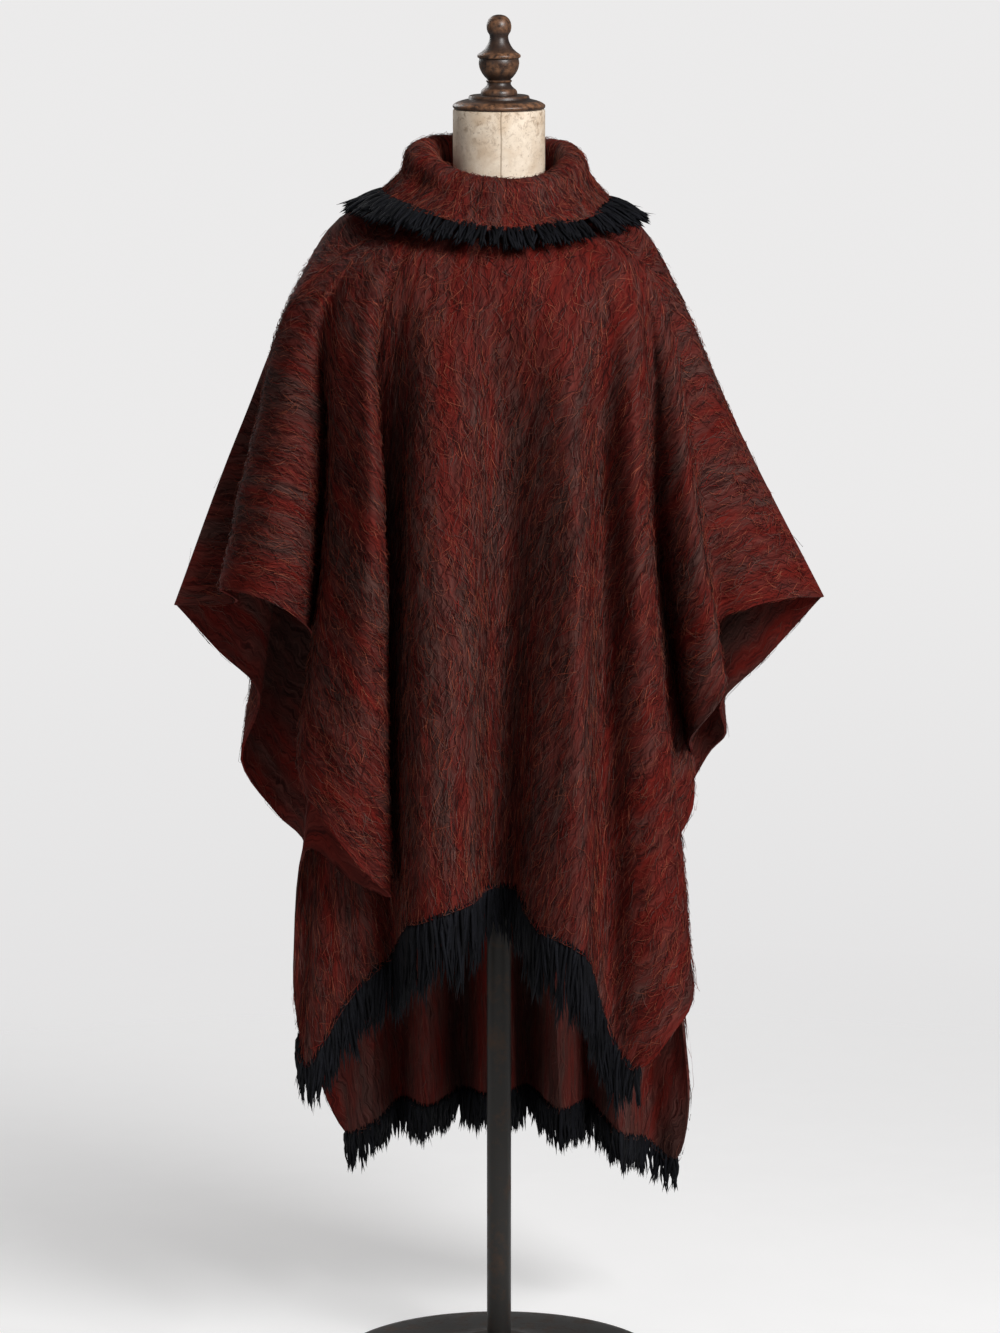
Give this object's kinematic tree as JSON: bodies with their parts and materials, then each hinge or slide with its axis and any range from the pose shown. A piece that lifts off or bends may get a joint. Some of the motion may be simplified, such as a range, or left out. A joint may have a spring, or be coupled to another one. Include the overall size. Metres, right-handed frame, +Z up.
{
  "type": "andean poncho on a dress form",
  "caption": "Wide brushed wool poncho with a rolled fringed collar and fringed hems, draped open on a limbless dress form with a turned finial and a round stand.",
  "frame": {"origin": "centre of the stand's flat underside, on the dress form's axis", "axes": "+Z up, -Y towards the front of the garment, +X to the viewer's right"},
  "size_m": [0.7927, 0.4511, 1.672],
  "materials": {
    "poncho_cloth": "long brushed mohair nap, rust over maroon and charcoal",
    "fringe_yarn": "blue-black wool yarn",
    "form_cover": "aged stained cream cover",
    "turned_wood": "dark waxed, worn on the edges",
    "stand_iron": "dark japanned"
  },
  "bodies": {
    "root": {"front_panel": "poncho_cloth", "back_panel": "poncho_cloth", "collar": "poncho_cloth", "collar_fringe": "fringe_yarn", "front_fringe": "fringe_yarn", "back_fringe": "fringe_yarn", "torso": "form_cover", "neck_block": "form_cover", "neck_cap": "turned_wood", "finial": "turned_wood", "pole": "stand_iron", "stand_base": "stand_iron"}
  },
  "joints": []
}
